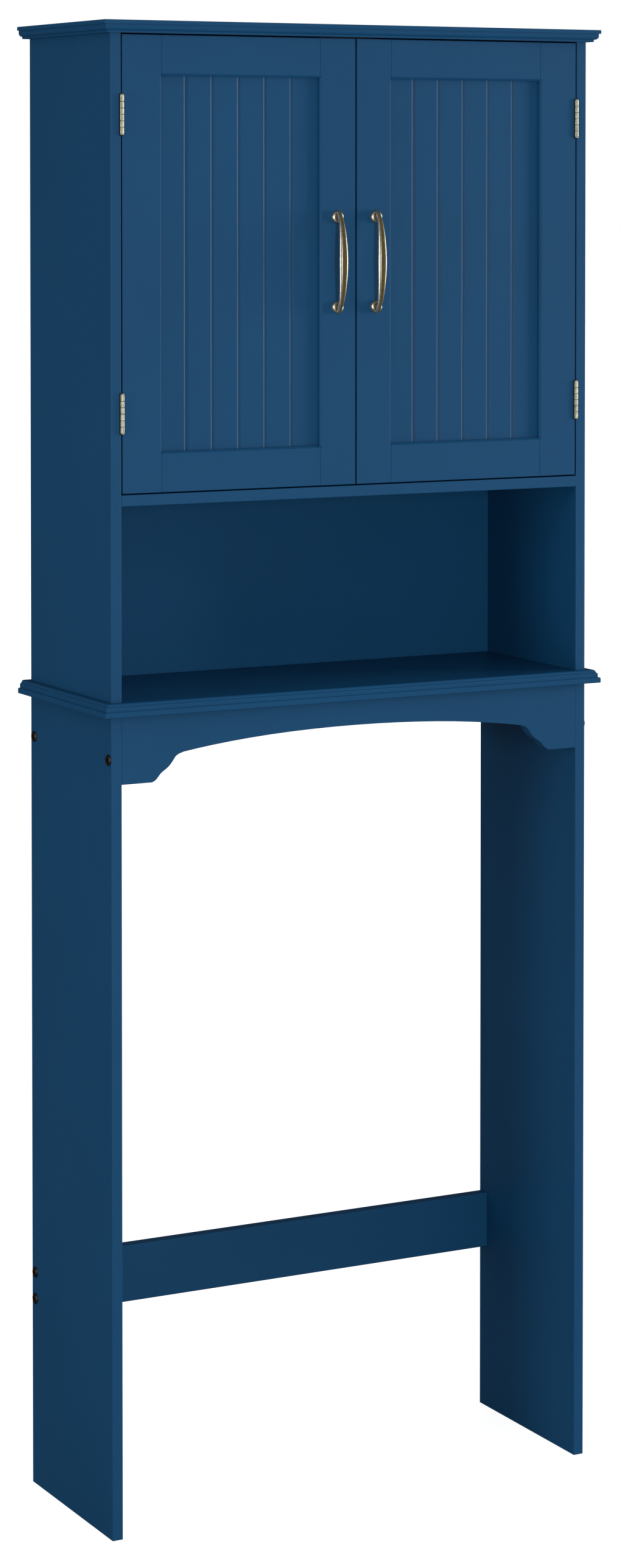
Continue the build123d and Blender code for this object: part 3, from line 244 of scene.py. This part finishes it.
def antique_brass():
    """Brass with a dark patina, rubbed bright where the mesh says so; the bright rubbed parts are partly
    real wear and partly a painted highlight.
    """
    look = Look("antique_brass_rubbed_highlit", 0.3, metallic=1.0)
    brushed = look.noise(1500.0, stretch=(1.0, 1.0, 0.04), detail=3.0)
    mottle = look.noise(330.0, detail=4.0, offset=4.0)
    patina = look.blend(look.spread(mottle, 0.0, 1.0), (0.115, 0.086, 0.028), (0.185, 0.138, 0.050))
    # the pale rubbed colour is partly worn brass and partly a painted highlight
    rubbed_and_highlight = look.blend(look.spread(brushed, 0.0, 1.0), (0.72, 0.67, 0.56), (0.86, 0.82, 0.72))
    amount = look.attribute("rubbed_and_highlight")
    look.colour(look.blend(amount, patina, rubbed_and_highlight))
    look.metallic(look.spread(amount, PATINA_METALLIC, 1.0, 0.0, 1.0))
    look.roughness(look.spread(brushed, 0.24, 0.36))
    look.bump([(brushed, BRUSHED_RELIEF)])
    return look.material


def dark_bronze():
    """The brown-black finish of the leg bolts."""
    look = Look("dark_bronze", 0.45, metallic=0.85)
    mottle = look.noise(600.0, detail=3.0)
    look.colour(look.blend(look.spread(mottle, 0.0, 1.0), (0.030, 0.021, 0.016), (0.085, 0.055, 0.040)))
    look.roughness(look.spread(mottle, 0.36, 0.52))
    look.bump([(mottle, FINE_RELIEF)])
    return look.material


def zinc(name, low, high, roughness, relief):
    """Zinc: plated and fine-grained, or cast and coarser."""
    look = Look(name, roughness, metallic=1.0)
    grain = look.noise(1100.0, detail=3.0)
    cloud = look.noise(160.0, detail=2.0, offset=2.0)
    look.colour(look.blend(look.spread(cloud, 0.0, 1.0), low, high))
    look.roughness(look.spread(grain, roughness - 0.06, roughness + 0.08))
    look.bump([(grain, relief)])
    return look.material


def beech():
    """Bare beech with its short flecks."""
    look = Look("bare_beech", 0.62)
    fibres = look.noise(900.0, stretch=(0.4, 1.0, 0.12), detail=3.0)
    flecks = look.noise(420.0, stretch=(1.0, 1.0, 0.25), detail=2.0, offset=9.0)
    wood = look.blend(look.spread(fibres, 0.0, 1.0), (0.50, 0.31, 0.16), (0.63, 0.43, 0.24))
    look.colour(look.blend(look.spread(flecks, 0.0, 0.35), wood, (0.33, 0.18, 0.09)))
    look.roughness(look.spread(fibres, 0.55, 0.70))
    look.bump([(fibres, 0.04 * MM)])
    return look.material


def moulded_plastic():
    """Brown plastic with a fine moulded grain."""
    look = Look("brown_plastic", 0.48)
    grain = look.noise(1300.0, detail=2.0)
    look.colour(look.blend(look.spread(grain, 0.0, 1.0), (0.040, 0.027, 0.019), (0.055, 0.038, 0.028)))
    look.roughness(look.spread(grain, 0.42, 0.54))
    look.bump([(grain, FINE_RELIEF)])
    return look.material


def ferrite():
    """Dark sintered magnet."""
    look = Look("ferrite", 0.7)
    grain = look.noise(2200.0, detail=2.0)
    look.colour(look.blend(look.spread(grain, 0.0, 1.0), (0.030, 0.030, 0.034), (0.060, 0.060, 0.066)))
    look.roughness(look.spread(grain, 0.60, 0.78))
    look.bump([(grain, FINE_RELIEF)])
    return look.material


LOOKS = {
    "painted_board": paint("satin_blue", BLUE, SATIN),
    "moulded_board": paint("semi_gloss_blue", BLUE, SEMI_GLOSS),
    "back_board": paint("satin_blue_back", BLUE_BACK, SATIN, BACK_SPECULAR),
    "hinge_brass": hinge_brass(),
    "antique_brass": antique_brass(),
    "bronze_bolt": dark_bronze(),
    "zinc_steel": zinc("zinc_plate", (0.48, 0.49, 0.50), (0.62, 0.61, 0.58), 0.30, 0.008 * MM),
    "cast_zinc": zinc("cast_zinc_grey", (0.36, 0.36, 0.38), (0.48, 0.48, 0.50), 0.45, 0.03 * MM),
    "beech": beech(),
    "catch_plastic": moulded_plastic(),
    "magnet": ferrite(),
}

for subpart in frame["record"]["subparts"]:
    node = frame["nodes"][subpart["node"]]
    for material_slot in node.material_slots:
        material_slot.material = LOOKS[subpart["material_slot"]]


# ----- bow pulls ------------------------------------------------------------------------
def bow(along):
    """How far the strap has risen, from 0 at its ends to 1 in the middle; along runs from -1 to 1."""
    reach = min(abs(along), 1.0)
    return (1.0 - reach ** PULL_BELLY) ** PULL_SHOULDER


def strap_sections():
    """For each section of the strap: its middle, outward direction, width and thickness."""
    half = PULL_SPACING / 2 + PULL_TIP
    places = []
    for index in range(PULL_SECTIONS + 1):
        angle = math.pi * (index / PULL_SECTIONS - 0.5)
        along = math.sin(angle)
        rise = bow(along)
        thickness = PULL_END_THICKNESS + (PULL_THICKNESS - PULL_END_THICKNESS) * rise
        outer = PULL_END_HEIGHT + (PULL_PROJECTION - PULL_END_HEIGHT) * rise
        places.append((along * half, outer - thickness / 2 * rise, thickness, rise))
    sections = []
    for index, (height, forward, thickness, rise) in enumerate(places):
        lower = places[max(index - 1, 0)]
        upper = places[min(index + 1, PULL_SECTIONS)]
        run = Vector((0.0, -(upper[1] - lower[1]), upper[0] - lower[0])).normalized()
        outward = Vector((0.0, -run.z, run.y))
        fullness = 1.0 - abs(height / half) ** PULL_TAPER
        width = PULL_END_WIDTH + (PULL_WIDTH - PULL_END_WIDTH) * fullness
        sections.append((Vector((0.0, -forward, height)), outward, width, thickness))
    return sections


def section_outline():
    """The strap's whole section: from its back up the left side, over the front, down the right."""
    left = [(-across, out, rub_and_highlight) for across, out, rub_and_highlight in STRAP_SIDE]
    front = (0.0, 1.0, 0.0)
    right = list(reversed(STRAP_SIDE))
    back = (0.0, -1.0, 0.0)
    return [*left, front, *right, back]


def add_strap(mesh, rubbed_and_highlight):
    """The bowed strap, as a solid built up from sections."""
    outline = section_outline()
    rings = []
    for middle, outward, width, thickness in strap_sections():
        ring = []
        for across, out, rub_and_highlight in outline:
            place = middle + Vector((across * width / 2, 0.0, 0.0)) + outward * (out * thickness / 2)
            corner = mesh.verts.new(place)
            corner[rubbed_and_highlight] = rub_and_highlight
            ring.append(corner)
        rings.append(ring)
    count = len(outline)
    for lower, upper in zip(rings, rings[1:]):
        for index in range(count):
            following = (index + 1) % count
            mesh.faces.new((lower[index], lower[following], upper[following], upper[index]))
    mesh.faces.new(list(reversed(rings[0])))
    mesh.faces.new(rings[-1])


def add_rose(mesh, rubbed_and_highlight, height):
    """A round base with a raised rim, rubbed bright partly as wear and partly as a painted highlight,
    turned about the screw's axis.
    """
    bore = [(SCREW_BORE_RADIUS, 0.0, 0.0), (SCREW_BORE_RADIUS, SCREW_BORE_DEPTH, 0.0)]
    rings = []
    for radius, forward, rub_and_highlight in ROSE_PROFILE + bore:
        ring = []
        for step in range(ROSE_STEPS):
            angle = 2 * math.pi * step / ROSE_STEPS
            place = Vector((radius * math.cos(angle), -forward, height + radius * math.sin(angle)))
            corner = mesh.verts.new(place)
            corner[rubbed_and_highlight] = rub_and_highlight
            ring.append(corner)
        rings.append(ring)
    for inner, outer in zip(rings, rings[1:]):
        for step in range(ROSE_STEPS):
            following = (step + 1) % ROSE_STEPS
            mesh.faces.new((inner[step], inner[following], outer[following], outer[step]))
    mesh.faces.new(rings[0])
    mesh.faces.new(rings[-1])


def bow_pull(name, node, body):
    """A bow pull on its two bases, in the place of the plain one."""
    low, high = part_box(node)
    foot = Vector(((low.x + high.x) / 2, high.y, (low.z + high.z) / 2))
    mesh = bmesh.new()
    # how rubbed each corner is: partly real wear, partly a painted highlight
    rubbed_and_highlight = mesh.verts.layers.float.new("rubbed_and_highlight")
    add_strap(mesh, rubbed_and_highlight)
    for end in (-1, 1):
        add_rose(mesh, rubbed_and_highlight, end * PULL_SPACING / 2)
    bmesh.ops.recalc_face_normals(mesh, faces=mesh.faces)
    bmesh.ops.translate(mesh, verts=mesh.verts, vec=foot)
    data = bpy.data.meshes.new(name)
    mesh.to_mesh(data)
    mesh.free()
    for face in data.polygons:
        face.use_smooth = True
    data.set_sharp_from_angle(angle=math.radians(SHARP_ANGLE))
    pull = bpy.data.objects.new(name, data)
    bpy.context.scene.collection.objects.link(pull)
    data.materials.append(LOOKS["antique_brass"])
    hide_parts(node)
    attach(pull, body)


for side in ("left", "right"):
    bow_pull(f"bow_pull_{side}", f"handle_{side}", f"door_{side}")


# ----- studio ---------------------------------------------------------------------------
def direction(azimuth, elevation):
    """The direction from the rack to something seen at these angles, in degrees."""
    turn, rise = math.radians(azimuth), math.radians(elevation)
    return Vector((math.sin(turn) * math.cos(rise), -math.cos(turn) * math.cos(rise), math.sin(rise)))


def soft_light(name, azimuth, elevation, distance, width, height, watts):
    """A rectangular soft box that faces the rack."""
    light = bpy.data.lights.new(name, "AREA")
    light.shape = "RECTANGLE"
    light.size = width
    light.size_y = height
    light.energy = watts
    away = direction(azimuth, elevation)
    box = bpy.data.objects.new(name, light)
    box.location = LIGHT_AIM + away * distance
    box.rotation_euler = away.to_track_quat("Z", "Y").to_euler()
    bpy.context.scene.collection.objects.link(box)


def surround():
    """A white backdrop for the camera, even soft light, and a dim room in reflections."""
    world = bpy.data.worlds.new("studio")
    world.use_nodes = True
    tree = world.node_tree
    tree.nodes.clear()
    output = tree.nodes.new("ShaderNodeOutputWorld")
    sky = tree.nodes.new("ShaderNodeBackground")
    path = tree.nodes.new("ShaderNodeLightPath")
    shiny = tree.nodes.new("ShaderNodeMapRange")
    shiny.inputs["To Min"].default_value = SKY_LIGHT
    shiny.inputs["To Max"].default_value = SKY_SHINE
    seen = tree.nodes.new("ShaderNodeMix")
    seen.inputs[3].default_value = BACKDROP
    tree.links.new(path.outputs["Is Glossy Ray"], shiny.inputs["Value"])
    tree.links.new(path.outputs["Is Camera Ray"], seen.inputs["Factor"])
    tree.links.new(shiny.outputs["Result"], seen.inputs[2])
    tree.links.new(seen.outputs[0], sky.inputs["Strength"])
    tree.links.new(sky.outputs["Background"], output.inputs["Surface"])
    sky.inputs["Color"].default_value = (1.0, 1.0, 1.0, 1.0)
    world.cycles.sampling_method = "NONE"  # so that every ray knows its own kind
    bpy.context.scene.world = world


def floor():
    """A plain pale floor."""
    data = bpy.data.meshes.new("floor")
    half = FLOOR_SIZE / 2
    corners = [(-half, -half, 0.0), (half, -half, 0.0), (half, half, 0.0), (-half, half, 0.0)]
    data.from_pydata(corners, [], [(0, 1, 2, 3)])
    slab = bpy.data.objects.new("floor", data)
    slab.location.z = -FLOOR_DROP
    bpy.context.scene.collection.objects.link(slab)
    look = bpy.data.materials.new("floor_white")
    look.use_nodes = True
    shader = look.node_tree.nodes["Principled BSDF"]
    shader.inputs["Base Color"].default_value = FLOOR_COLOUR
    shader.inputs["Roughness"].default_value = FLOOR_ROUGHNESS
    shader.inputs["Specular IOR Level"].default_value = FLOOR_SPECULAR
    shader.inputs["Emission Color"].default_value = (1.0, 1.0, 1.0, 1.0)
    path = look.node_tree.nodes.new("ShaderNodeLightPath")
    glow = look.node_tree.nodes.new("ShaderNodeMapRange")
    glow.inputs["To Max"].default_value = FLOOR_GLOW
    look.node_tree.links.new(path.outputs["Is Camera Ray"], glow.inputs["Value"])
    look.node_tree.links.new(glow.outputs["Result"], shader.inputs["Emission Strength"])
    data.materials.append(look)
    slab.visible_glossy = False


def camera():
    """The view from the front left, at eye height."""
    data = bpy.data.cameras.new("camera")
    data.lens = CAMERA_LENS
    data.sensor_width = CAMERA_SENSOR
    data.shift_y = CAMERA_SHIFT
    data.clip_end = CAMERA_REACH
    eye = bpy.data.objects.new("camera", data)
    eye.location = CAMERA_PLACE
    eye.rotation_euler = direction(CAMERA_AZIMUTH, CAMERA_ELEVATION).to_track_quat("Z", "Y").to_euler()
    bpy.context.scene.collection.objects.link(eye)
    bpy.context.scene.camera = eye


surround()
floor()
camera()
for light_name, values in SOFT_LIGHTS.items():
    soft_light(light_name, *values)
bpy.context.scene.view_settings.view_transform = "Standard"
